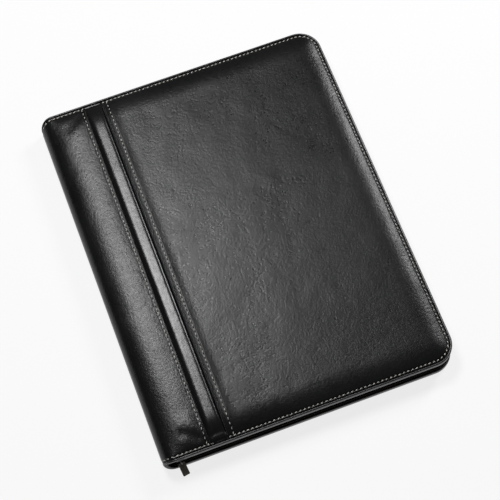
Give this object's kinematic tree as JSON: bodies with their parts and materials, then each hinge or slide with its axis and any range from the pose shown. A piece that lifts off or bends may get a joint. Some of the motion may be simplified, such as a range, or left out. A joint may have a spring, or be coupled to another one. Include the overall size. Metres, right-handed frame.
{
  "type": "zip-around writing folder",
  "caption": "Closed padded leather writing folder with a zip on three sides, a raised strip near the spine, pockets, a pen loop and a pad; the front cover opens flat.",
  "frame": {"origin": "middle of the rear cover's flat outer face, halfway between the spine's outermost line and the fore-edge and halfway between head and tail; the folder lies closed on this face", "axes": "+X from the spine to the fore-edge, +Y from the tail edge to the head edge, +Z out through the front cover"},
  "size_m": [0.263, 0.3487, 0.0276],
  "materials": {
    "panel_leather": "black grained leather with a soft satin sheen",
    "ridge_leather": "black smooth satin leather over padding",
    "spine_leather": "black grained leather, worked soft at the spine",
    "edge_binding": "black rolled leather edge",
    "foam": "dark open foam, hidden between leather and board",
    "board": "grey-brown bookbinding board, hidden",
    "lining": "black woven lining",
    "pocket_leather": "thin black leather",
    "zip_tape": "black woven zip tape",
    "zip_coil": "black nylon coil",
    "zip_metal": "dark lacquered metal",
    "pull": "dark olive-black leather strip",
    "elastic": "black woven elastic",
    "card": "grey-brown card",
    "paper": "off-white ruled paper",
    "head_tape": "black binding tape"
  },
  "bodies": {
    "rear_cover": {"rear_leather": "panel_leather", "rear_edge_binding": "edge_binding", "rear_foam": "foam", "rear_board": "board", "rear_lining": "lining", "rear_zip_tape": "zip_tape", "rear_zip_chain": "zip_coil", "rear_zip_stop_tail": "zip_metal", "rear_zip_stop_head": "zip_metal", "pad_pocket": "lining", "pen_loop": "elastic"},
    "spine_rear_strip": {"spine_rear_leather": "spine_leather", "spine_rear_stiffener": "board", "spine_rear_lining": "lining"},
    "spine_middle_strip": {"spine_middle_leather": "spine_leather", "spine_middle_stiffener": "board", "spine_middle_lining": "lining"},
    "spine_front_strip": {"spine_front_leather": "spine_leather", "spine_front_stiffener": "board", "spine_front_lining": "lining"},
    "front_cover": {"front_hinge_panel": "panel_leather", "front_ridge_strip": "ridge_leather", "front_main_panel": "panel_leather", "ridge_padding": "foam", "front_edge_binding": "edge_binding", "front_foam": "foam", "front_board": "board", "front_lining": "lining", "front_zip_tape": "zip_tape", "front_zip_chain": "zip_coil", "front_zip_stop_tail": "zip_metal", "front_zip_stop_head": "zip_metal", "document_pocket": "lining", "card_pocket_1": "pocket_leather", "card_pocket_2": "pocket_leather", "card_pocket_3": "pocket_leather"},
    "zip_slider": {"zip_slider": "zip_metal"},
    "pull_ring": {"pull_ring": "zip_metal"},
    "pull_tab": {"pull_tab": "pull"},
    "writing_pad": {"pad_card": "card", "pad_sheets": "paper", "pad_head_tape": "head_tape"}
  },
  "joints": [
    {"name": "spine_hinge_rear", "type": "hinge", "parent": "rear_cover", "child": "spine_rear_strip", "pos_m": [-0.12459, 0, 0], "axis": [0, -1, 0], "range_deg": [0, 45]},
    {"name": "spine_hinge_lower", "type": "hinge", "parent": "spine_rear_strip", "child": "spine_middle_strip", "pos_m": [-0.1315, 0, 0.00691], "axis": [0, -1, 0], "range_deg": [0, 45]},
    {"name": "spine_hinge_upper", "type": "hinge", "parent": "spine_middle_strip", "child": "spine_front_strip", "pos_m": [-0.1315, 0, 0.01669], "axis": [0, -1, 0], "range_deg": [0, 45]},
    {"name": "cover_hinge", "type": "hinge", "parent": "spine_front_strip", "child": "front_cover", "pos_m": [-0.12459, 0, 0.0236], "axis": [0, -1, 0], "range_deg": [0, 45]},
    {"name": "slider_run", "type": "slide", "parent": "rear_cover", "child": "zip_slider", "axis": [1, 0, 0], "range_m": [0, 0.223]},
    {"name": "ring_swing", "type": "hinge", "parent": "zip_slider", "child": "pull_ring", "pos_m": [-0.117, -0.16605, 0.0118], "axis": [0, 0, 1], "range_deg": [-34, 16]},
    {"name": "pull_lift", "type": "hinge", "parent": "pull_ring", "child": "pull_tab", "pos_m": [-0.11659, -0.16862, 0.0118], "axis": [-0.9877, -0.1564, 0], "range_deg": [-5, 100]},
    {"name": "pad_play", "type": "slide", "parent": "rear_cover", "child": "writing_pad", "axis": [0, 1, 0], "range_m": [0, 0.01]}
  ]
}
